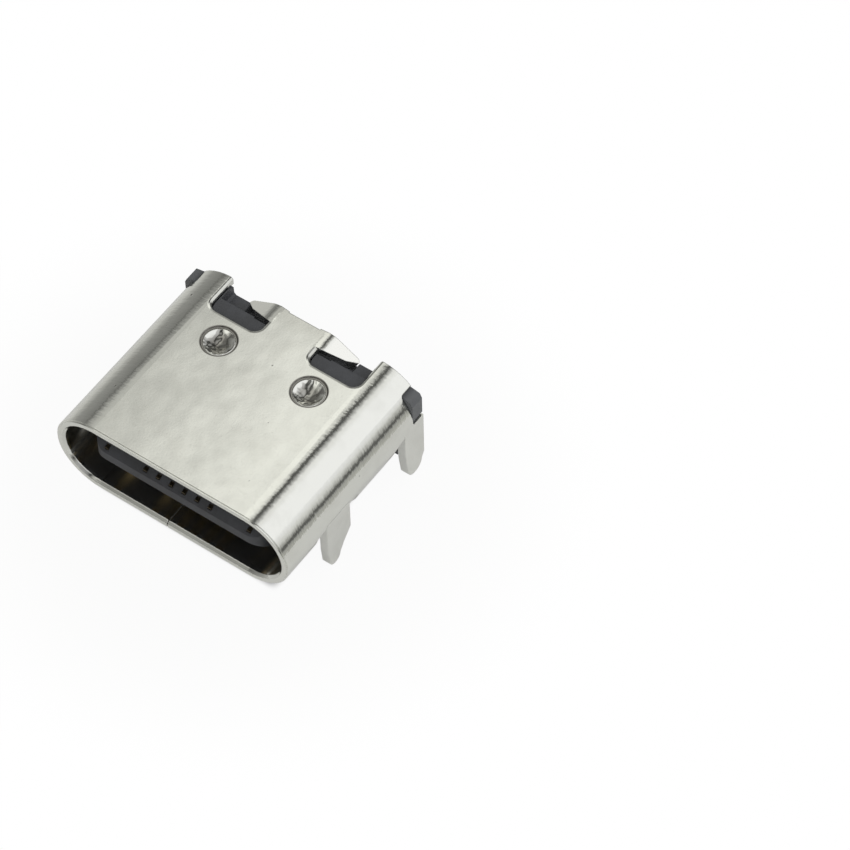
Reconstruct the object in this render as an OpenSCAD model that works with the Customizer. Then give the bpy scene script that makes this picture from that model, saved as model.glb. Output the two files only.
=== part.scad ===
// Sixteen-contact socket for a reversible cable plug: a folded steel shell with four
// through-board legs around a moulded block whose tongue carries two rows of contacts.
// The seating plane of the circuit board is z = 0, the mouth faces -Y and its rim is at
// y = 0, and x = 0 is the middle of the mouth.

/* [Shell] */
// Outside width of the shell, across the two full-round sides
shell_w = 8.94; // [8.6:0.01:9.6]
// Outside height of the shell
shell_h = 3.16; // [3.0:0.01:3.5]
// Thickness of the sheet steel
sheet_t = 0.30; // [0.22:0.01:0.34]
// Length of the shell along its top, from the rim to the rear corners
shell_len = 7.20; // [7.0:0.05:7.6]
// How far the underside ends short of the rear edge
belly_gap = 1.70; // [1.5:0.05:1.9]
// Gap between the board and the underside of the shell
stand_off = 0.10; // [0.05:0.01:0.2]
// Chamfer round the inner edge of the rim
rim_lead = 0.09; // [0.04:0.01:0.12]
// Rounding of the outer edge of the rim, as a chamfer
rim_edge = 0.05; // [0.02:0.01:0.08]

/* [Rear notches] */
// Width of the tongue of sheet left between the two notches
tab_w = 1.90; // [1.6:0.05:2.1]
// Width of each notch
notch_w = 1.92; // [1.8:0.02:2.0]
// Length of the notches in the rear top edge
notch_len = 1.33; // [1.2:0.01:1.5]
// Corner radius of the notches
notch_r = 0.30; // [0.1:0.05:0.4]
// Rounding of the sheared top edges round the notches, in two flats
notch_roll = 0.07; // [0.03:0.01:0.08]
// Reach of each bent wing, out from the middle
wing_reach = 2.12; // [2.0:0.02:2.2]
// Slope of the wings, in degrees below the top of the shell
wing_slope = 27.5; // [22:0.5:30]
// Radius of the bend between the tab and each wing
wing_bend_r = 0.88; // [0.6:0.02:1.0]

/* [Legs] */
// How far the front leg tips reach below the board
front_leg_drop = 0.72; // [0.6:0.01:0.9]
// How far the rear leg tips reach below the board
rear_leg_drop = 0.82; // [0.7:0.01:0.9]
// Middle of the tip of each front leg, back from the rim
front_leg_y = 2.38; // [2.3:0.01:2.5]
// Width of the tip of each front leg
front_tip_w = 0.54; // [0.4:0.02:0.6]
// Width of the tip of each rear leg
rear_tip_w = 0.74; // [0.6:0.02:0.8]
// Width of each rear leg at its root
rear_leg_w = 0.99; // [0.92:0.01:1.05]

/* [Windows and seam] */
// Front edge of the windows the front legs are cut from
window_y = 1.60; // [1.5:0.05:1.8]
// Length of the windows, front to back
window_len = 2.15; // [2.0:0.05:2.3]
// Inner edge of each window, out from the middle
window_x = 1.68; // [1.5:0.02:1.8]
// Corner radius of the windows
window_r = 0.30; // [0.1:0.05:0.5]
// Width of the gap along the interlocked seam
seam_gap = 0.04; // [0.02:0.01:0.08]
// Width of the rolled edges beside the seam
seam_roll = 0.16; // [0.1:0.02:0.24]

/* [Dimples] */
// Diameter of the pressed dimples at the surface
dimple_d = 1.20; // [1.0:0.02:1.4]
// Distance of the dimples from the middle
dimple_x = 1.74; // [1.6:0.02:1.9]
// Distance of the dimples back from the rim
dimple_y = 4.94; // [4.8:0.02:5.0]
// Depth of the dimples
dimple_depth = 0.26; // [0.2:0.01:0.28]
// Depth of the ledge inside their edge
dimple_step = 0.05; // [0.03:0.01:0.06]
// Width of that ledge
dimple_ledge = 0.07; // [0.05:0.01:0.1]
// Radius of the curve between the ledge and the pit
dimple_ball = 0.80; // [0.7:0.05:1.0]
// Radius of the pit in the middle
dimple_pit = 0.25; // [0.2:0.01:0.3]

/* [Tongue] */
// Width of the tongue
tongue_w = 6.69; // [6.5:0.01:6.8]
// Thickness of the tongue
tongue_t = 0.70; // [0.66:0.01:0.8]
// Tip of the tongue, back from the rim
tongue_tip = 0.25; // [0.2:0.05:0.6]
// Front wall of the moulded block, back from the rim
wall_y = 4.05; // [3.9:0.05:4.1]
// Radius of the front corners of the tongue
tongue_r = 0.60; // [0.3:0.05:0.7]

/* [Moulded block] */
// How far the block stands in from the rear edge of the sheet
block_inset = 0.10; // [0.05:0.01:0.2]
// Height of the floor over the contact tails
deck_z = 0.30; // [0.26:0.01:0.34]
// How far the rear face of the bar stands in from the rear of the block
bar_inset = 0.78; // [0.6:0.02:0.9]
// Width of the raised bar
bar_w = 7.00; // [6.4:0.05:7.4]
// Depth of the two pockets in the rear top edge
pocket_floor = 0.66; // [0.62:0.01:0.72]
// Diameter of the locating pegs
peg_d = 0.50; // [0.4:0.01:0.56]
// Spacing of the locating pegs
peg_pitch = 5.78; // [5.6:0.01:5.9]
// Length of the pegs below the board
peg_len = 0.45; // [0.3:0.01:0.7]

/* [Contacts] */
// Pitch of the contacts
pitch = 0.50; // [0.5:0.01:0.5]
// Width of each contact on the tongue
contact_w = 0.25; // [0.2:0.01:0.28]
// Thickness of the contact strip
contact_t = 0.12; // [0.1:0.01:0.15]
// Width of each soldering tail
tail_w = 0.22; // [0.18:0.01:0.23]
// How far in from the rear of the block the visible feet of the tails start
tail_cover = 0.26; // [0.2:0.01:0.3]
// How far the tails reach out behind the block
tail_reach = 0.48; // [0.3:0.01:0.8]
// Thickness of the plate between the two rows of contacts
plate_t = 0.12; // [0.08:0.01:0.15]

/* [Fits] */
// Clearance between the block and the steel around it
shell_gap = 0.02; // [0.01:0.005:0.03]
// Clearance round each contact and insert in the moulded block
fit_gap = 0.01; // [0.005:0.005:0.02]

/* [Hidden] */
$fn = 48;

A_NAMES = ["a1", "a4", "a5", "a6", "a7", "a8", "a9", "a12"];
B_NAMES = ["b12", "b9", "b8", "b7", "b6", "b5", "b4", "b1"];
steel = [0.80, 0.80, 0.76];
resin = [0.23, 0.23, 0.25];
gold = [0.74, 0.65, 0.40];
plate_steel = [0.66, 0.66, 0.66];

belly_len = shell_len - belly_gap;     // rear edge of the underside
notch_y = shell_len - notch_len;       // front edge of the notches
block_rear = shell_len - block_inset;
bar_rear = block_rear - bar_inset;
peg_y = bar_rear - 0.17;
bar_face = 0.02;                       // lower face of the bar, just clear of the board
tail_front = block_rear - tail_cover;
tail_rear = block_rear + tail_reach;
side_r = shell_h / 2;                  // full-round sides
side_x = shell_w / 2 - side_r;         // centre of each rounded side
bore_r = side_r - sheet_t;
mid_z = stand_off + shell_h / 2;
top_z = stand_off + shell_h;
blade_x = shell_w / 2 - sheet_t;       // inner face of the leg blades
block_half = blade_x - 3 * shell_gap;  // half width of the block between the legs
notch_out = tab_w / 2 + notch_w;       // outer edge of the notches
rear_leg_front = shell_len - 0.02 - rear_leg_w;
slit_z = stand_off + 1.34;             // top of the slits beside the legs
slit_lean = 0.09;                      // backward lean of the edge below them
dimple_bowl = dimple_d / 2 - dimple_step / 2 - dimple_ledge;    // radius inside the ledge
dimple_centre = sqrt(pow(dimple_ball, 2) - pow(dimple_bowl, 2)) - dimple_step;
pit_drop = dimple_depth + dimple_centre - sqrt(pow(dimple_ball, 2) - pow(dimple_pit, 2));
pit_ball = (pow(dimple_pit, 2) + pow(pit_drop, 2)) / (2 * pit_drop);
ear_front = shell_len - 0.56;          // front edge of the openings for the ears
ear_low = mid_z + 0.02;
ear_high = mid_z + 1.10;
ear_r = 0.12;                          // corner radius of those openings
insert_front = wall_y + 0.35;
insert_rear = belly_len + 0.12;
insert_half = 3.46;
insert_h = 0.66;                       // height of each insert
insert_in = plate_t / 2 + 2 * fit_gap; // inner face of the inserts from the mid plane
row_out = tongue_t / 2;                // outer face of the contact rows from the mid plane
jog_front = insert_front + 0.2;
jog_rear = insert_rear - 0.15;
root_w = tongue_w + 0.41;              // the thicker root of the tongue
root_h = tongue_t + 0.54;
contact_front = tongue_tip + 0.10;
lead_len = 0.22;                       // narrow ends of the contacts, under the nose
lead_w = 0.56 * contact_w;
tail_bend = 0.14;                      // outer radius of the bend down to each foot
pair_gap = 0.02;                       // slit between two tails on one pad
wing_root = shell_len - 0.75;          // front of the bends of the wings
nose = 0.28;                           // length of the tapered nose of the tongue
nose_t = 0.36;                         // thickness at its tip

// Places of the eight contacts of a row on the tongue: the outer pair stands apart
function on_tongue(i) = let (s = i < 4 ? -1 : 1, k = i < 4 ? 3 - i : i - 4)
    s * (k == 3 ? 5.5 : k + 0.5) * pitch;
// Places of the tails: single tails between two pairs that share a pad at each side
function tail_a(i) = let (s = i < 4 ? -1 : 1, k = i < 4 ? 3 - i : i - 4)
    s * (k == 3 ? 6.4 * pitch + (tail_w + pair_gap) / 2
        : k == 2 ? 4.8 * pitch + (tail_w + pair_gap) / 2 : (2 * k + 0.5) * pitch);
function tail_b(i) = let (s = i < 4 ? -1 : 1, k = i < 4 ? 3 - i : i - 4)
    s * (k == 3 ? 6.4 * pitch - (tail_w + pair_gap) / 2
        : k == 2 ? 4.8 * pitch - (tail_w + pair_gap) / 2 : (2 * k + 1.5) * pitch);

// Interlocked seam: a dovetail wave from the rim to the rear edge of the underside
seam_mid = 0.31;
seam_amp = 0.55;
seam_slant = 0.09;
seam_bend = 0.22;
seam_knots = let (u = belly_len / 5.5, l = seam_mid - seam_amp, r = seam_mid + seam_amp)
    [[l, -0.3], [l, 1.13 * u + seam_slant], [r, 1.13 * u - seam_slant],
     [r, 2.01 * u + seam_slant], [l, 2.01 * u - seam_slant],
     [l, 3.35 * u + seam_slant], [r, 3.35 * u - seam_slant],
     [r, 4.17 * u + seam_slant], [l, 4.17 * u - seam_slant], [l, belly_len + 0.3]];
seam_last = len(seam_knots) - 1;
seam_path = concat([seam_knots[0]], [for (i = [1 : seam_last - 1], t = [0 : 0.25 : 1])
    let (q = seam_knots[i], a = seam_knots[i - 1] - q, b = seam_knots[i + 1] - q)
    q + seam_bend * (pow(1 - t, 2) * a / norm(a) + t * t * b / norm(b))],
    [seam_knots[seam_last]]);
// Sideways direction at each point of the seam
function seam_side(i) = let (n = len(seam_path) - 1,
    d = seam_path[min(i + 1, n)] - seam_path[max(i - 1, 0)]) [-d.y, d.x] / norm(d);

// Extrude a drawing in x and z from the first y to the second
module along_y(y0, y1) {
    translate([0, y1, 0]) rotate([90, 0, 0]) linear_extrude(y1 - y0) children();
}

// Extrude a drawing in y and z from the first x to the second
module along_x(x0, x1) {
    translate([x0, 0, 0]) rotate([90, 0, 90]) linear_extrude(x1 - x0) children();
}

module both_sides() {
    children();
    mirror([1, 0, 0]) children();
}

// Flat oval with full-round ends, centred on the middle of the mouth
module oval(r) {
    translate([-side_x, mid_z - r]) square([2 * side_x, 2 * r]);
    for (s = [-1, 1]) translate([s * side_x, mid_z]) circle(r);
}

// Rectangle from one corner to the other with two or four rounded corners
module rounded(a, b, r) {
    translate([a.x + r, a.y]) square([b.x - a.x - 2 * r, b.y - a.y]);
    translate([a.x, a.y + r]) square([b.x - a.x, b.y - a.y - 2 * r]);
    for (x = [a.x + r, b.x - r], y = [a.y + r, b.y - r]) translate([x, y]) circle(r);
}

// Flared ring that chamfers the rim of an oval of radius r by c, along Y from the rim
module oval_flare(r, c) {
    for (s = [-1, 1])
        translate([s * side_x, 0, mid_z]) rotate([-90, 0, 0]) cylinder(h = c, r1 = r + c, r2 = r);
    along_x(-side_x, side_x)
        polygon([[0, mid_z - r - c], [c, mid_z - r], [c, mid_z + r], [0, mid_z + r + c]]);
}

// Band of one width along the seam
module seam_band(w) {
    n = len(seam_path) - 1;
    polygon(concat([for (i = [0 : n]) seam_path[i] + seam_side(i) * w / 2],
        [for (i = [n : -1 : 0]) seam_path[i] - seam_side(i) * w / 2]));
}

// Blade of a front leg, drawn in y and z
module front_blade() {
    c = front_leg_y;
    r = front_tip_w / 2;
    tip = r - front_leg_drop;
    translate([c, tip]) circle(r);
    polygon([[c - 0.33, mid_z - 0.1], [c + 0.85, mid_z - 0.1], [c + 0.85, stand_off + 0.2],
        [c + 0.46, stand_off - 0.26], [c + r, tip], [c - r, tip], [c - 0.33, stand_off + 0.05]]);
}

// Blade of a rear leg, drawn in y and z
module rear_blade() {
    f = rear_leg_front;
    b = f + rear_leg_w;
    r = rear_tip_w / 2;
    c = b - 0.13 - r;
    tip = r - rear_leg_drop;
    translate([c, tip]) circle(r);
    polygon([[f, mid_z + 0.005], [b, mid_z + 0.005], [b, stand_off - 0.34], [c + r, tip],
        [c - r, tip], [f + 0.04, stand_off + 0.02], [f, stand_off + 0.45]]);
}

// Section of a bent wing in x and z: flat, round bend, then a straight slope. It is grown by g
// on every face that touches the block.
module wing_section(g = 0) {
    t = sheet_t + g;
    centre = [tab_w / 2 - 0.10, top_z - wing_bend_r];
    out = [sin(wing_slope), cos(wing_slope)];
    down = [cos(wing_slope), -sin(wing_slope)];
    start = centre + wing_bend_r * out;
    end = start + down * (wing_reach + g - start.x) / down.x;
    translate([0.5, top_z - t]) square([centre.x - 0.5, t]);
    intersection() {
        difference() {
            translate(centre) circle(wing_bend_r);
            translate(centre) circle(wing_bend_r - t);
        }
        polygon([centre, centre + [0, 2 * wing_bend_r], centre + 2 * wing_bend_r * out]);
    }
    polygon([start, end, end - t * out, start - t * out]);
}

// Wedge that takes a strip w wide and d deep off the sheared top edge of a notch
module notch_edge(w, d) {
    r = notch_r;
    z = top_z - d;
    for (x = [tab_w / 2 + r, notch_out - r])
        translate([x, notch_y + r, z]) cylinder(h = d, r1 = r, r2 = r + w);
    along_x(tab_w / 2 + r, notch_out - r)
        polygon([[notch_y, z], [notch_y - w, top_z], [notch_y + r, top_z], [notch_y + r, z]]);
    for (e = [[tab_w / 2, -1], [notch_out, 1]]) along_y(notch_y + r, shell_len + 1)
        polygon([[e[0], z], [e[0] + e[1] * w, top_z], [e[0] - e[1] * r, top_z], [e[0] - e[1] * r, z]]);
}

// Pressed dimple: a steep step down to a narrow ledge, then a round bowl with a smaller pit
module dimple_hollow() {
    r = dimple_d / 2;
    translate([0, 0, -dimple_step]) cylinder(h = dimple_step, r1 = r - dimple_step / 2, r2 = r);
    translate([0, 0, dimple_centre]) sphere(dimple_ball);
    translate([0, 0, pit_ball - dimple_depth]) sphere(pit_ball);
}

// The same dimple on the other face of the sheet
module dimple_bump(g = 0) {
    r = dimple_bowl + 0.93 * sheet_t + g;
    intersection() {
        translate([0, 0, dimple_centre]) sphere(dimple_ball + 0.93 * sheet_t + g);
        translate([-r, -r, -2 * r - 0.05]) cube([2 * r, 2 * r, 2 * r]);
    }
}

module at_dimples() {
    for (x = [-dimple_x, dimple_x]) {
        translate([x, dimple_y, top_z]) children();
        translate([x, dimple_y, stand_off]) rotate([180, 0, 0]) children();
    }
}

module shell() {
    color(steel) difference() {
        union() {
            difference() {
                along_y(0, shell_len) oval(side_r);
                along_y(-1, shell_len + 1) oval(bore_r);
                // underside and lower sides end before the tails, with a slit beside the legs
                along_x(-shell_w, shell_w) polygon([[belly_len, -1], [belly_len, stand_off + 0.5],
                    [belly_len + slit_lean, slit_z - 0.42], [belly_len + 0.30, slit_z - 0.12],
                    [rear_leg_front - 0.14, slit_z], [rear_leg_front, slit_z],
                    [rear_leg_front, mid_z], [shell_len + 1, mid_z], [shell_len + 1, -1]]);
                // notches in the rear top edge
                both_sides() translate([0, 0, mid_z]) linear_extrude(shell_h)
                    rounded([tab_w / 2, notch_y], [notch_out, shell_len + 1], notch_r);
                both_sides() notch_edge(notch_roll * 1.8, notch_roll * 0.5);
                both_sides() notch_edge(notch_roll, notch_roll * 1.2);
                // the tab between them ends a little short
                along_x(-tab_w, tab_w) polygon([[shell_len - 0.07, mid_z], [shell_len - 0.07, top_z - 0.06],
                    [shell_len - 0.12, top_z], [shell_len + 1, top_z + 1], [shell_len + 1, mid_z]]);
                // openings in the sides for the ears of the block
                both_sides() along_x(bore_r + 2, shell_w)
                    rounded([ear_front, ear_low - shell_gap], [shell_len + 1, ear_high + shell_gap], ear_r);
                // windows the front legs are cut from
                both_sides() translate([0, 0, -1]) linear_extrude(1 + stand_off + 1.3)
                    rounded([window_x, window_y], [shell_w, window_y + window_len], window_r);
            }
            both_sides() along_x(blade_x, shell_w / 2) {
                front_blade();
                rear_blade();
            }
            // wings bent down from the tab on two slanting lines
            both_sides() intersection() {
                along_y(notch_y, shell_len) wing_section();
                linear_extrude(shell_h + 1) polygon([[0.6, shell_len - 0.07], [tab_w / 2 - 0.1, wing_root],
                    [tab_w / 2 + 0.12, wing_root + 0.05], [tab_w / 2 + 0.32, wing_root + 0.11],
                    [wing_reach - 0.30, wing_root + 0.34], [wing_reach, wing_root + 0.58],
                    [wing_reach, shell_len - 0.12], [wing_reach - 0.08, shell_len - 0.05],
                    [tab_w / 2 + 0.30, shell_len - 0.03], [tab_w / 2, shell_len - 0.04]]);
            }
            at_dimples() dimple_bump();
        }
        at_dimples() dimple_hollow();
        translate([0, 0, stand_off - 0.5]) linear_extrude(0.5 + sheet_t + 0.05) seam_band(seam_gap);
        translate([0, 0, stand_off - 0.5]) linear_extrude(0.5 + 0.05) seam_band(seam_roll);
        oval_flare(bore_r, rim_lead);
        difference() {
            translate([-shell_w, -1, stand_off - 1]) cube([2 * shell_w, 1 + rim_edge, shell_h + 2]);
            translate([0, 2 * rim_edge, 0]) mirror([0, 1, 0]) {
                oval_flare(side_r - rim_edge, rim_edge);
                along_y(rim_edge, 2 * rim_edge) oval(side_r - rim_edge);
            }
        }
    }
}

// One contact strip: along the tongue, aside to its tail, down and out along the board.
// up is 1 for the upper row and -1 for the lower; g grows every face, for its slot.
module contact(up, x0, x1, g = 0) {
    z0 = mid_z + (up > 0 ? row_out - contact_t : -row_out) - g;
    h = contact_t + 2 * g;
    w = contact_w / 2 + g;
    v = tail_w / 2 + (g > 0 ? min(g, 0.004) : 0);
    y0 = contact_front;
    ye = tail_front + contact_t;
    zb = tail_bend;
    translate([0, 0, z0]) linear_extrude(h) {
        translate([x0 - w, y0 + lead_len - g]) square([2 * w, jog_front - y0 - lead_len + 2 * g]);
        polygon([[x0 - w, jog_front], [x0 + w, jog_front], [x1 + v, jog_rear], [x1 - v, jog_rear]]);
        translate([x1 - v, jog_rear - g]) square([2 * v, ye - jog_rear + 2 * g]);
    }
    // narrow end dipping under the nose of the tongue
    translate([x0 - lead_w / 2 - g, y0 - g, z0 - up * contact_t / 2])
        cube([lead_w + 2 * g, lead_len + 0.02 + 2 * g, h]);
    // foot: down behind the block's floor and back along the board
    along_x(x1 - v, x1 + v) {
        translate([tail_front - g, zb]) square([h, z0 + h - zb]);
        translate([tail_front + zb, -g]) square([tail_rear - tail_front - zb + g, h]);
        intersection() {
            translate([tail_front - g, -g]) square([zb + g, zb + g]);
            difference() {
                translate([tail_front + zb, zb]) circle(zb + g);
                translate([tail_front + zb, zb]) circle(max(0.005, zb - contact_t - g));
            }
        }
    }
}

module contact_upper(i, g = 0) {
    contact(1, on_tongue(i), tail_a(i), g);
}

module contact_lower(i, g = 0) {
    contact(-1, on_tongue(i), tail_b(i), g);
}

module all_contacts(g = 0) {
    for (i = [0 : 7]) {
        contact_upper(i, g);
        contact_lower(i, g);
    }
}

// Latch notches in the two sides of the tongue
module latch_notches() {
    both_sides() linear_extrude(shell_h + 1)
        rounded([tongue_w / 2 - 0.34, 1.75], [tongue_w, 2.55], 0.15);
}

module mid_plate(g = 0) {
    holes = [-2, 0, 2];
    color(plate_steel) difference() {
        translate([0, 0, mid_z - plate_t / 2 - g]) linear_extrude(plate_t + 2 * g) difference() {
            union() {
                rounded([-tongue_w / 2 - g, tongue_tip + 0.40 - g],
                    [tongue_w / 2 + g, wall_y + 0.2 + g], 0.3 + g);
                translate([-tongue_w / 2 + 0.2 - g, 1.5])
                    square([tongue_w - 0.4 + 2 * g, insert_rear + 0.1 + g - 1.5]);
            }
            for (x = holes, y = [1.6, 3.2]) translate([x, y]) circle(0.22 - g);
        }
        latch_notches();
    }
}

module insert_box(up, g = 0) {
    z0 = mid_z + (up > 0 ? insert_in : -insert_in - insert_h);
    translate([-insert_half - g, insert_front - g, z0 - g])
        cube([2 * (insert_half + g), insert_rear - insert_front + 2 * g, insert_h + 2 * g]);
}

module upper_insert() {
    color(resin) difference() {
        insert_box(1);
        for (i = [0 : 7]) contact_upper(i, fit_gap);
        mid_plate(fit_gap);
    }
}

module lower_insert() {
    color(resin) difference() {
        insert_box(-1);
        for (i = [0 : 7]) contact_lower(i, fit_gap);
        mid_plate(fit_gap);
    }
}

// Tongue, with a tapered nose and a thicker root
module tongue() {
    difference() {
        translate([0, 0, mid_z - tongue_t / 2]) linear_extrude(tongue_t)
            rounded([-tongue_w / 2, tongue_tip], [tongue_w / 2, wall_y + 1], tongue_r);
        for (s = [-1, 1]) along_x(-tongue_w, tongue_w) polygon([
            [tongue_tip - 0.1, mid_z + s * (nose_t / 2 - 0.05)], [tongue_tip, mid_z + s * nose_t / 2],
            [tongue_tip + nose, mid_z + s * tongue_t / 2], [tongue_tip + nose, mid_z + s],
            [tongue_tip - 0.1, mid_z + s]]);
        latch_notches();
    }
    along_y(wall_y - 0.5, wall_y + 0.5)
        translate([-root_w / 2, mid_z - root_h / 2]) square([root_w, root_h]);
}

// Block behind the tongue, with the floor over the tails, the bar and the ears
module block() {
    r = bore_r - shell_gap;
    front = belly_len + shell_gap;
    along_y(wall_y, block_rear) oval(r);
    // frame that rises into the notches, almost level with the sheet
    both_sides() translate([0, 0, mid_z]) linear_extrude(top_z - 0.22 - mid_z)
        rounded([tab_w / 2 + shell_gap, notch_y + shell_gap], [notch_out - shell_gap, block_rear],
            notch_r - shell_gap, $fn = 12);
    translate([-side_x, front, deck_z]) cube([2 * side_x, block_rear - front, mid_z - deck_z]);
    translate([-block_half + 0.16, front + slit_lean, deck_z])
        cube([2 * block_half - 0.32, block_rear - front - slit_lean, mid_z - deck_z]);
    translate([-block_half, rear_leg_front + 0.06, deck_z])
        cube([2 * block_half, block_rear - rear_leg_front - 0.06, mid_z - deck_z]);
    translate([0, 0, bar_face]) linear_extrude(deck_z + 0.2) polygon([
        [-bar_w / 2 + 0.3, front], [bar_w / 2 - 0.3, front], [bar_w / 2, front + 0.3],
        [bar_w / 2, bar_rear], [-bar_w / 2, bar_rear], [-bar_w / 2, front + 0.3]]);
    both_sides() intersection() {
        along_y(ear_front, shell_len - 0.02) polygon([
            [side_x, ear_low], [shell_w / 2 - 0.20, ear_low], [shell_w / 2 - 0.04, ear_low + 0.10],
            [shell_w / 2 - 0.04, ear_high - 0.26], [shell_w / 2 - 0.12, ear_high - 0.08],
            [shell_w / 2 - 0.48, ear_high], [side_x, ear_high]]);
        along_x(0, shell_w) rounded([ear_front + shell_gap, ear_low], [shell_len + 1, ear_high],
            ear_r - shell_gap);
    }
}

module housing() {
    color(resin) difference() {
        union() {
            block();
            tongue();
            both_sides() translate([peg_pitch / 2, peg_y, 0]) {
                translate([-peg_d / 2 - 0.03, -0.1, bar_face]) cube([peg_d + 0.06, peg_d / 2 + 0.13, deck_z]);
                translate([0, 0, 0.08 - peg_len]) cylinder(h = peg_len, r = peg_d / 2);
                translate([0, 0, -peg_len]) cylinder(h = 0.08, r1 = peg_d / 2 - 0.06, r2 = peg_d / 2);
            }
        }
        // pockets in the rear top edge, under the notches and the wings
        both_sides() along_y(wing_root + 0.01, shell_len + 1) polygon([
            [tab_w / 2 + 0.02, top_z], [tab_w / 2 + 0.02, top_z - 0.16],
            [wing_reach - 0.12, top_z - pocket_floor + 0.05],
            [wing_reach - 0.04, top_z - pocket_floor], [notch_out - 0.16, top_z - pocket_floor],
            [notch_out - 0.08, top_z - pocket_floor + 0.08], [notch_out - 0.06, top_z]]);
        both_sides() along_y(wing_root - 2 * shell_gap, shell_len + 1) wing_section(2 * shell_gap);
        at_dimples() dimple_bump(2 * shell_gap);
        // recesses over the ends of the contacts, near the tip of the tongue
        for (i = [0 : 7], s = [-1, 1])
            translate([on_tongue(i) - 0.08, contact_front, mid_z + (s > 0 ? 0.16 : -1.16)])
                cube([0.16, 0.16, 1]);
        // pits left by the pins that hold the contacts in the mould
        both_sides() for (x = [1.65, 2.36]) translate([x, 1.75, mid_z - tongue_t / 2 - 0.1])
            cylinder(h = 0.18, r = 0.09);
        insert_box(1, fit_gap);
        insert_box(-1, fit_gap);
        mid_plate(fit_gap);
        all_contacts(fit_gap);
    }
}

shell();
housing();
upper_insert();
lower_insert();
mid_plate();
for (i = [0 : 7]) {
    color(gold) contact_upper(i);
    color(gold) contact_lower(i);
}
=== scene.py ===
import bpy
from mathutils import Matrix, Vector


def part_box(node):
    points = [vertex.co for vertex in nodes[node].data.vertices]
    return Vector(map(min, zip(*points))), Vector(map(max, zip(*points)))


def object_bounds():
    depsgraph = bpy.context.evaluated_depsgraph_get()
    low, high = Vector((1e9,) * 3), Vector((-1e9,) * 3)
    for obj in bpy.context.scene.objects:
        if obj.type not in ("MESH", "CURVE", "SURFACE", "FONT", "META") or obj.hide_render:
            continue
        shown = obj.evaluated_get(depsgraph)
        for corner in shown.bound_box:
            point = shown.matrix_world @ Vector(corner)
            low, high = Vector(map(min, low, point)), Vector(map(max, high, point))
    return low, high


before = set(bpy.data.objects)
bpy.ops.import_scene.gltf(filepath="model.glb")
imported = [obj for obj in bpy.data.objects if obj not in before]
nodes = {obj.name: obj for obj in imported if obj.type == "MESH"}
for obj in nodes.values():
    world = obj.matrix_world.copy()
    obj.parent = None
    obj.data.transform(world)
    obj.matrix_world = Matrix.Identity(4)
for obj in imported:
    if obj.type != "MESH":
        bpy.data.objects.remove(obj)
cad_box = [list(corner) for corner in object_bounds()]

import math

import bpy
import numpy as np
from mathutils import Matrix, Vector


# ---------------------------------------------------------------- shell
# The shell is one strip of steel sheet, stamped, folded into a flat oval and nickel plated.
# The folds stretch its grain across the bend, so the rounded sides carry fine ragged streaks.

MM = 0.001


class Wire:
    """A shader socket that Python arithmetic works on: each operator adds one Math node."""

    def __init__(self, tree, socket):
        self.tree = tree
        self.socket = socket

    def math(self, operation, *others):
        made = self.tree.nodes.new("ShaderNodeMath")
        made.operation = operation
        for slot, value in zip(made.inputs, (self, *others)):
            if isinstance(value, Wire):
                self.tree.links.new(value.socket, slot)
            else:
                slot.default_value = value
        return Wire(self.tree, made.outputs[0])

    def flipped(self, operation, other):
        """The same node with a plain number in its first socket and this wire in its second."""
        made = self.tree.nodes.new("ShaderNodeMath")
        made.operation = operation
        made.inputs[0].default_value = other
        self.tree.links.new(self.socket, made.inputs[1])
        return Wire(self.tree, made.outputs[0])

    def __add__(self, other):
        return self.math("ADD", other)

    def __sub__(self, other):
        return self.math("SUBTRACT", other)

    def __mul__(self, other):
        return self.math("MULTIPLY", other)

    def __truediv__(self, other):
        return self.math("DIVIDE", other)

    def __pow__(self, other):
        return self.math("POWER", other)

    def __rsub__(self, other):
        return self.flipped("SUBTRACT", other)

    def __rtruediv__(self, other):
        return self.flipped("DIVIDE", other)

    def __neg__(self):
        return self * -1.0

    __radd__ = __add__
    __rmul__ = __mul__

    def abs(self):
        return self.math("ABSOLUTE")

    def least(self, other):
        return self.math("MINIMUM", other)

    def most(self, other):
        return self.math("MAXIMUM", other)

    def step(self, low, high):
        """0 below low, 1 above high and a smooth rise between, or a fall where high is less."""
        made = self.tree.nodes.new("ShaderNodeMapRange")
        made.interpolation_type = "SMOOTHSTEP"
        self.tree.links.new(self.socket, made.inputs["Value"])
        start, end, first = (low, high, 0.0) if low < high else (high, low, 1.0)
        made.inputs["From Min"].default_value = start
        made.inputs["From Max"].default_value = end
        made.inputs["To Min"].default_value = first
        made.inputs["To Max"].default_value = 1.0 - first
        return Wire(self.tree, made.outputs[0])

    def near(self, centre, half, soft):
        """1 within half of centre, falling to 0 over soft beyond it."""
        return (self - centre).abs().step(half + soft, half)


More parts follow.
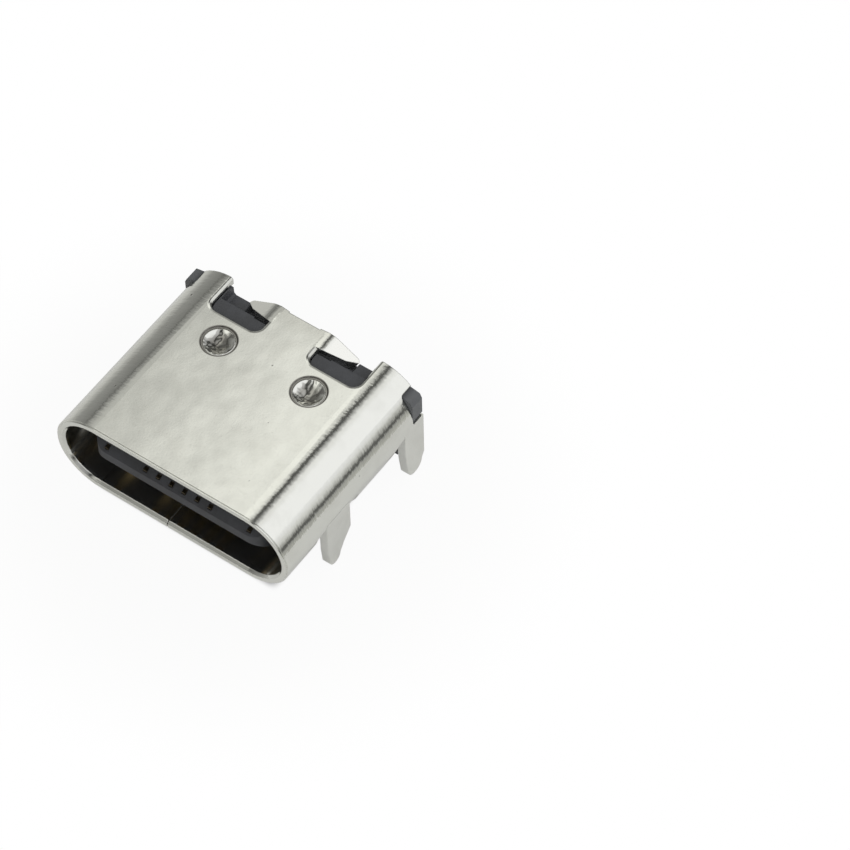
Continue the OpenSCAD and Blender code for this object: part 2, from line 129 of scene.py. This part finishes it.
class Finish:
    """A material in the making. Lengths in it are millimetres of the object's own space."""

    def __init__(self, name):
        self.material = bpy.data.materials.new(name)
        self.material.use_nodes = True
        self.tree = self.material.node_tree
        self.tree.nodes.clear()
        self.shader = self.tree.nodes.new("ShaderNodeBsdfPrincipled")
        out = self.tree.nodes.new("ShaderNodeOutputMaterial")
        self.tree.links.new(self.shader.outputs[0], out.inputs[0])
        place = self.node("ShaderNodeTexCoord", out="Object")
        self.mm = self.node("ShaderNodeVectorMath", {"operation": "SCALE"},
                            {0: place, "Scale": 1 / MM})
        split = self.tree.nodes.new("ShaderNodeSeparateXYZ")
        self.tree.links.new(self.mm.socket, split.inputs[0])
        self.x, self.y, self.z = (Wire(self.tree, s) for s in split.outputs)

    def node(self, kind, settings=None, inputs=None, out=0):
        """Adds a node: settings first, then its sockets, each a value or a wire."""
        made = self.tree.nodes.new(kind)
        for key, value in (settings or {}).items():
            setattr(made, key, value)
        for key, value in (inputs or {}).items():
            if isinstance(value, Wire):
                self.tree.links.new(value.socket, made.inputs[key])
            else:
                made.inputs[key].default_value = value
        return Wire(self.tree, made.outputs[out])

    def stretched(self, across, along, up):
        """Object space with each axis scaled, which draws a pattern out along the small ones."""
        return self.node("ShaderNodeVectorMath", {"operation": "MULTIPLY"},
                         {0: self.mm, 1: (across, along, up)})

    def noise(self, scale, detail=3.0, rough=0.55, at=None, seed=0.0):
        """Smooth noise from 0 to 1 with scale cells to the millimetre."""
        inputs = {"Vector": at or self.mm, "Scale": scale, "Detail": detail, "Roughness": rough}
        if seed:
            inputs["W"] = seed
        return self.node("ShaderNodeTexNoise", {"noise_dimensions": "4D" if seed else "3D"}, inputs)

    def specks(self, scale, size, at=None):
        """Round specks of that size in cells, one in each cell that holds any."""
        return self.node("ShaderNodeTexVoronoi", {"feature": "F1"},
                         {"Vector": at or self.mm, "Scale": scale}).step(size, size * 0.4)

    def mix(self, factor, first, second):
        """A colour part of the way from the first to the second."""
        made = self.tree.nodes.new("ShaderNodeMix")
        made.data_type = "RGBA"
        for slot, value in ((0, factor), (6, first), (7, second)):
            if isinstance(value, Wire):
                self.tree.links.new(value.socket, made.inputs[slot])
            else:
                made.inputs[slot].default_value = value if slot == 0 else (*value, 1.0)
        return Wire(self.tree, made.outputs[2])

    def facing(self):
        """The three parts of the true surface direction, in the object's space."""
        turned = self.node("ShaderNodeNewGeometry", out="Normal")
        split = self.tree.nodes.new("ShaderNodeSeparateXYZ")
        self.tree.links.new(turned.socket, split.inputs[0])
        return [Wire(self.tree, s) for s in split.outputs]

    def set(self, **values):
        """Sets the shader's sockets, each named with _ for a space."""
        for key, value in values.items():
            slot = self.shader.inputs[key.replace("_", " ")]
            if isinstance(value, Wire):
                self.tree.links.new(value.socket, slot)
            else:
                slot.default_value = (*value, 1.0) if isinstance(value, tuple) else value

    def relief(self, height, depth, edge=0.0):
        """Feeds a height of 0 to 1, depth millimetres tall, to the shader, over rounded edges."""
        inputs = {"Height": height, "Distance": depth * MM, "Strength": 1.0}
        if edge:
            inputs["Normal"] = self.node("ShaderNodeBevel", {"samples": 6}, {"Radius": edge * MM})
        self.set(Normal=self.node("ShaderNodeBump", inputs=inputs))


def dress(node, material):
    """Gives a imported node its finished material."""
    body = nodes[node]
    body.data.materials.clear()
    body.data.materials.append(material)


high = Vector(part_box("shell")[1]) / MM
BELLY_Z = 0.10
SIDE_R = (high.z - BELLY_Z) / 2
SIDE_X = high.x - SIDE_R
SHELL_LEN = high.y
MID_Z = high.z - SIDE_R
DIMPLE_X, DIMPLE_Y = 1.74, 4.94
DIMPLE_RING_R = 0.580
TAB_BEND_X = 1.06
WING_ROOT = SHELL_LEN - 0.75
CURL_X = 1.15
CURL_SLOPE = 20.0
PUNCH_HEIGHT = 7.0
RELIEF_DEPTH = 0.009
EDGE_R = 0.035
NICKEL = (0.83, 0.835, 0.80)
DULL_NICKEL = (0.70, 0.70, 0.66)
# Pale tone of the sheared front edges, and a painted highlight on the wings.
SHEAR_AND_PAINTED_HIGHLIGHT = (0.90, 0.90, 0.86)
# Dark tone of pits and punch marks, and painted shade in a ring round each dimple.
PIT_AND_SHADE_DARK = (0.16, 0.15, 0.14)
# Painted shade inside the mouth and on the seam walls.
INNER_PAINTED_SHADE = (0.24, 0.23, 0.21)


def nickel_plate():
    """Satin nickel: streaks across the folds, clouds and pits on the flats, punch marks in the dimples.
    Painted shade darkens the inside of the mouth, the seam and a ring round each dimple. The wings
    are shaded a little steeper than their solid, which curl does, and carry a painted highlight."""
    f = Finish("nickel_plate")
    nx, ny, nz = f.facing()
    fold = f.x.abs().step(SIDE_X - 0.05, SIDE_X + 0.30) * ny.abs().step(0.5, 0.2)
    bend = (f.x.abs().near(TAB_BEND_X, 0.18, 0.10)
            * f.y.step(SHELL_LEN - 0.85, SHELL_LEN - 0.70))
    folded = fold.most(bend)
    streaks = f.noise(1.0, detail=2.0, rough=0.5, at=f.stretched(1.9, 6.5, 1.9))
    hairs = f.noise(1.0, detail=2.0, rough=0.6, at=f.stretched(2.6, 17.0, 2.6))
    waves = f.noise(0.55, detail=2.0, rough=0.5)
    grain = f.noise(14.0, detail=3.0, rough=0.6)
    clouds = f.noise(1.1, detail=4.0, rough=0.6)
    dust = f.noise(9.0, detail=2.0).step(0.56, 0.72)
    pits = f.specks(1.05, 0.060) * f.noise(0.9, detail=0.0, seed=3.1).step(0.40, 0.50)
    flat_top = nz.step(0.97, 0.995)
    from_axis = ((f.x.abs() - SIDE_X).most(0.0) ** 2.0 + (f.z - MID_Z) ** 2.0).math("SQRT")
    inside = (from_axis.step(SIDE_R - 0.10, SIDE_R - 0.20) * f.y.step(0.10, 0.30)
              * f.y.step(5.8, 5.4))
    tone = f.mix(clouds.step(0.42, 0.70) * 0.30, NICKEL, DULL_NICKEL)
    tone = f.mix(dust * flat_top * 0.26, tone, DULL_NICKEL)
    tone = f.mix(pits * 0.8, tone, PIT_AND_SHADE_DARK)
    shear = f.y.step(0.045, 0.015) * (-ny).step(0.5, 0.9)
    tone = f.mix(shear * 0.8, tone, SHEAR_AND_PAINTED_HIGHLIGHT)
    # Painted shade: the inside of the mouth is darkened.
    tone = f.mix(inside * 0.75, tone, INNER_PAINTED_SHADE)
    # Painted shade: the walls of the seam along the bottom are darkened.
    seam = nx.abs().step(0.5, 0.8) * f.x.abs().step(2.1, 1.9) * f.z.step(0.60, 0.50)
    tone = f.mix(seam * 0.9, tone, INNER_PAINTED_SHADE)
    rough = 0.07 + clouds * 0.04 + shear * 0.30 + inside * 0.15
    outer = 1.0 - inside
    from_dimple = ((f.x.abs() - DIMPLE_X) ** 2.0 + (f.y - DIMPLE_Y) ** 2.0).math("SQRT")
    marks = f.noise(3.4, detail=1.0)
    punched = from_dimple.step(0.54, 0.50) * ny.abs().step(0.98, 0.9)
    # Painted shade: a dark line round the rim of each dimple.
    painted_ring_shade = from_dimple.near(DIMPLE_RING_R, 0.020, 0.045) * nz.abs().step(0.1, 0.3)
    tone = f.mix(painted_ring_shade * 0.90, tone, PIT_AND_SHADE_DARK)
    tone = f.mix(punched * marks.step(0.52, 0.42) * 0.55, tone, PIT_AND_SHADE_DARK)
    rough = rough * (1.0 - punched * 0.5)
    curl = ((f.x.abs() - CURL_X).most(0.0) * f.x.abs().step(2.4, 2.3)
            * f.y.step(WING_ROOT - 0.15, WING_ROOT))
    tab = f.y.step(SHELL_LEN - 0.9, SHELL_LEN - 0.2) * f.x.abs().step(1.1, 0.9)
    # The rear tab is mixed part way to the duller tone, more where its clouds are.
    tone = f.mix(tab * (0.35 + clouds * 0.5), tone, DULL_NICKEL)
    # Painted highlight: the wings are lightened.
    tone = f.mix(curl.step(0.0, 0.1) * 0.9, tone, SHEAR_AND_PAINTED_HIGHLIGHT)
    ragged = (streaks - 0.5 + (hairs - 0.5) * 0.60) * folded * outer
    height = (ragged + waves * (1.2 - punched * 1.1) + grain * 0.05
              + marks * punched * PUNCH_HEIGHT - pits * outer * 0.9 - curl * CURL_SLOPE)
    f.set(Base_Color=tone, Metallic=1.0, Roughness=rough)
    f.relief(height, RELIEF_DEPTH, edge=EDGE_R)
    return f.material


dress("shell", nickel_plate())


# ---------------------------------------------------------------- housing
# The housing is moulded in one shot from black glass-filled plastic around both rows of contacts.
# Its skin is dull, faintly clouded and a little paler and bluish in places. Its ends and the part behind
# the shell are made paler still with painted light.

RESIN = (0.030, 0.031, 0.038)
RESIN_PALE = (0.072, 0.075, 0.090)
RESIN_PAINTED_LIGHT = (0.170, 0.177, 0.188)


def moulded_resin(name, pale):
    """Dull plastic with flow clouds, a fine skin texture and a few bright glass fibres."""
    f = Finish(name)
    clouds = f.noise(1.6, detail=5.0, rough=0.6)
    skin = f.noise(22.0, detail=3.0, rough=0.6)
    fibres = f.noise(1.0, detail=0.0, at=f.stretched(30.0, 7.0, 30.0)).step(0.72, 0.80)
    tone = f.mix(clouds.step(0.35, 0.75) * pale, RESIN, RESIN_PALE)
    tone = f.mix(fibres * 0.30, tone, RESIN_PALE)
    outside = f.y.step(5.4, 6.2)
    # Painted light: the ends of the housing are made much paler, the part behind the shell a little, and
    # the rest slightly.
    tone = f.mix((f.x.abs().step(3.9, 4.25) * 0.8).most(outside * 0.24).most(0.14), tone, RESIN_PAINTED_LIGHT)
    f.set(Base_Color=tone, Metallic=0.0, Roughness=0.42 + clouds * 0.16)
    f.relief(skin * 0.5 + clouds * 0.8, 0.010, edge=0.03)
    return f.material


resin = moulded_resin("moulded_resin", 0.75)
dress("housing", resin)


# ---------------------------------------------------------------- contact carriers
# Two bars of the same plastic are moulded round the contacts first, one for each row, and lie
# unseen inside the housing.

for carrier in ("upper_insert", "lower_insert"):
    dress(carrier, resin)


# ---------------------------------------------------------------- middle plate
# A stamped plate of bare stainless steel lies between the rows. Its edges show in the latch
# notches of the tongue.

def bare_plate():
    """Plain stamped steel with a rolled grain along its length."""
    f = Finish("bare_plate")
    grain = f.noise(1.0, detail=4.0, at=f.stretched(14.0, 1.5, 14.0))
    f.set(Base_Color=f.mix(grain, (0.55, 0.55, 0.54), (0.66, 0.66, 0.64)), Metallic=1.0,
          Roughness=0.28 + grain * 0.12)
    f.relief(grain, 0.004, edge=0.02)
    return f.material


dress("mid_plate", bare_plate())


# ---------------------------------------------------------------- contacts
# Each contact is a strip stamped from copper alloy and plated with gold over nickel. The foot
# behind the housing is duller, where it is cut from its carrier strip and dipped for solder.

GOLD = (0.86, 0.66, 0.33)
GOLD_DULL = (0.74, 0.64, 0.44)
PAINTED_TIP_SHADE = (0.16, 0.14, 0.12)


def gold_plate():
    """Satin gold, with the drawn grain of the strip and paler feet."""
    f = Finish("gold_plate")
    grain = f.noise(1.0, detail=4.0, at=f.stretched(26.0, 3.0, 26.0))
    clouds = f.noise(3.0, detail=3.0)
    foot = f.y.step(SHELL_LEN - 0.5, SHELL_LEN)
    tone = f.mix((foot * 0.5 + clouds * 0.3).least(1.0), GOLD, GOLD_DULL)
    # Painted shade: the front ends of the contacts, in the mouth, are darkened.
    tone = f.mix(f.y.step(0.9, 0.5) * 0.85, tone, PAINTED_TIP_SHADE)
    f.set(Base_Color=tone, Metallic=1.0, Roughness=0.26 + clouds * 0.14)
    f.relief(grain * 0.6 + clouds * 0.4, 0.004, edge=0.02)
    return f.material


gold = gold_plate()
for name in nodes:
    if name.startswith("contact_"):
        dress(name, gold)


# ---------------------------------------------------------------- floor, light and camera
# The part stands on its legs on a plain white table in a light tent. The tent is a dome of graded
# brightness with narrow dark gaps, which the rounded sides pick up as dark lines.

FLOOR_Z = cad_box[0][2]
TABLE_R = 12.5 * MM
TABLE_Y = 3.6
TABLE_SIDES = 96


def plain_table():
    """White card, clear from beneath. Right under the part it carries a painted shadow, dark to the
    camera, which keeps white from showing through the seam."""
    f = Finish("plain_table")
    seen = f.node("ShaderNodeLightPath", out="Is Camera Ray")
    mirrored = f.node("ShaderNodeLightPath", out="Is Glossy Ray")
    far = (f.x * f.x + (f.y - TABLE_Y) * (f.y - TABLE_Y)).math("SQRT").step(6.0, 12.0)
    f.set(Base_Color=(0.80, 0.80, 0.78), Roughness=0.9)
    # Painted shadow: a nearly black patch on the card beneath the part, seen by the camera only.
    under = f.x.abs().step(3.6, 3.1) * (f.y - 3.5).abs().step(3.1, 2.7)
    glow = f.node("ShaderNodeEmission", inputs={
        "Color": f.mix(under * seen, (1.0, 1.0, 1.0), (0.02, 0.02, 0.02)), "Strength": 1.0})
    card = f.node("ShaderNodeMixShader", inputs={
        0: seen * (far * 0.06 + 0.94) + mirrored * 0.22,
        1: Wire(f.tree, f.shader.outputs[0]), 2: glow})
    beneath = f.node("ShaderNodeNewGeometry", out="Backfacing")
    clear = f.node("ShaderNodeBsdfTransparent")
    both = f.node("ShaderNodeMixShader", inputs={0: beneath, 1: card, 2: clear})
    out = [n for n in f.tree.nodes if n.type == "OUTPUT_MATERIAL"][0]
    f.tree.links.new(both.socket, out.inputs[0])
    return f.material


# A disc: the points of its rim are the radius times the cosine and sine of the turn.
turn = np.linspace(0.0, 2.0 * math.pi, TABLE_SIDES, endpoint=False)
ring = np.stack([TABLE_R * np.cos(turn), TABLE_Y * MM + TABLE_R * np.sin(turn),
                 np.full(TABLE_SIDES, FLOOR_Z)], axis=1)
table_mesh = bpy.data.meshes.new("table")
table_mesh.from_pydata(ring.tolist(), [], [list(range(TABLE_SIDES))])
table = bpy.data.objects.new("table", table_mesh)
bpy.context.collection.objects.link(table)
table_mesh.materials.append(plain_table())

# Brightness of the tent by the angle round the part's long axis, from the left horizon over the
# top to the right one: (angle in degrees, brightness, share of blue).
TENT = [(-180, 0.50, 0.95), (-147, 0.80, 0.95), (-115, 0.62, 0.95), (-104, 0.56, 0.95),
        (-92, 0.41, 0.95), (-80, 0.29, 0.95), (-56, 0.23, 0.95), (-52, 0.14, 0.93),
        (-48, 0.27, 0.95), (-36, 0.54, 0.94), (-28, 0.50, 0.94), (-26.5, 0.63, 0.94),
        (-25, 0.92, 0.94), (-24, 1.0, 0.94), (-12, 1.0, 0.94), (-5.5, 0.66, 0.95),
        (-2.5, 0.09, 0.95), (2, 0.09, 0.95), (7, 0.44, 0.97), (14, 0.88, 0.98),
        (28, 1.0, 1.0), (60, 1.0, 1.0), (68, 0.86, 1.0), (78, 0.72, 0.97),
        (86, 0.45, 0.95), (91.5, 0.11, 0.95), (96.5, 0.11, 0.95), (101, 0.40, 0.95),
        (105, 0.40, 0.93), (114, 0.52, 0.93), (180, 0.55, 0.93)]


def light_tent():
    """World light as a function of the angle round the long axis, with white behind the part."""
    world = bpy.data.worlds.new("light_tent")
    bpy.context.scene.world = world
    world.use_nodes = True
    tree = world.node_tree
    tree.nodes.clear()
    place = tree.nodes.new("ShaderNodeTexCoord")
    split = tree.nodes.new("ShaderNodeSeparateXYZ")
    tree.links.new(place.outputs["Generated"], split.inputs[0])
    x, z = Wire(tree, split.outputs[0]), Wire(tree, split.outputs[2])
    share = x.math("ARCTAN2", z) / (2.0 * math.pi) + 0.5
    ramp = tree.nodes.new("ShaderNodeValToRGB")
    ramp.color_ramp.interpolation = "EASE"
    stops = ramp.color_ramp.elements
    while len(stops) > 1:
        stops.remove(stops[-1])
    for k, (angle, level, blue) in enumerate(TENT):
        stop = stops[0] if k == 0 else stops.new((angle + 180) / 360)
        stop.position = (angle + 180) / 360
        stop.color = (level, level, level * blue, 1.0)
    tree.links.new(share.socket, ramp.inputs[0])
    lit, plain = tree.nodes.new("ShaderNodeBackground"), tree.nodes.new("ShaderNodeBackground")
    tree.links.new(ramp.outputs[0], lit.inputs[0])
    ends = Wire(tree, split.outputs[1]).abs().step(0.98, 0.74) * 0.85 + 0.15
    tree.links.new(ends.socket, lit.inputs[1])
    plain.inputs[0].default_value = (1.0, 1.0, 1.0, 1.0)
    path = tree.nodes.new("ShaderNodeLightPath")
    both, out = tree.nodes.new("ShaderNodeMixShader"), tree.nodes.new("ShaderNodeOutputWorld")
    tree.links.new(path.outputs["Is Camera Ray"], both.inputs[0])
    tree.links.new(lit.outputs[0], both.inputs[1])
    tree.links.new(plain.outputs[0], both.inputs[2])
    tree.links.new(both.outputs[0], out.inputs[0])


light_tent()

camera = bpy.data.objects.new("camera", bpy.data.cameras.new("camera"))
bpy.context.collection.objects.link(camera)
camera.data.sensor_width = 36.0
camera.data.lens = 170.8
camera.data.clip_start, camera.data.clip_end = 0.01, 2.0
eye, aim, roll = Vector((48.58, -53.00, 103.33)) * MM, Vector((4.75, 6.87, 1.68)) * MM, math.radians(1.25)
camera.matrix_world = (Matrix.Translation(eye)
                       @ (aim - eye).to_track_quat("-Z", "Y").to_matrix().to_4x4()
                       @ Matrix.Rotation(-roll, 4, "Z"))
bpy.context.scene.camera = camera
bpy.context.scene.view_settings.view_transform = "Standard"
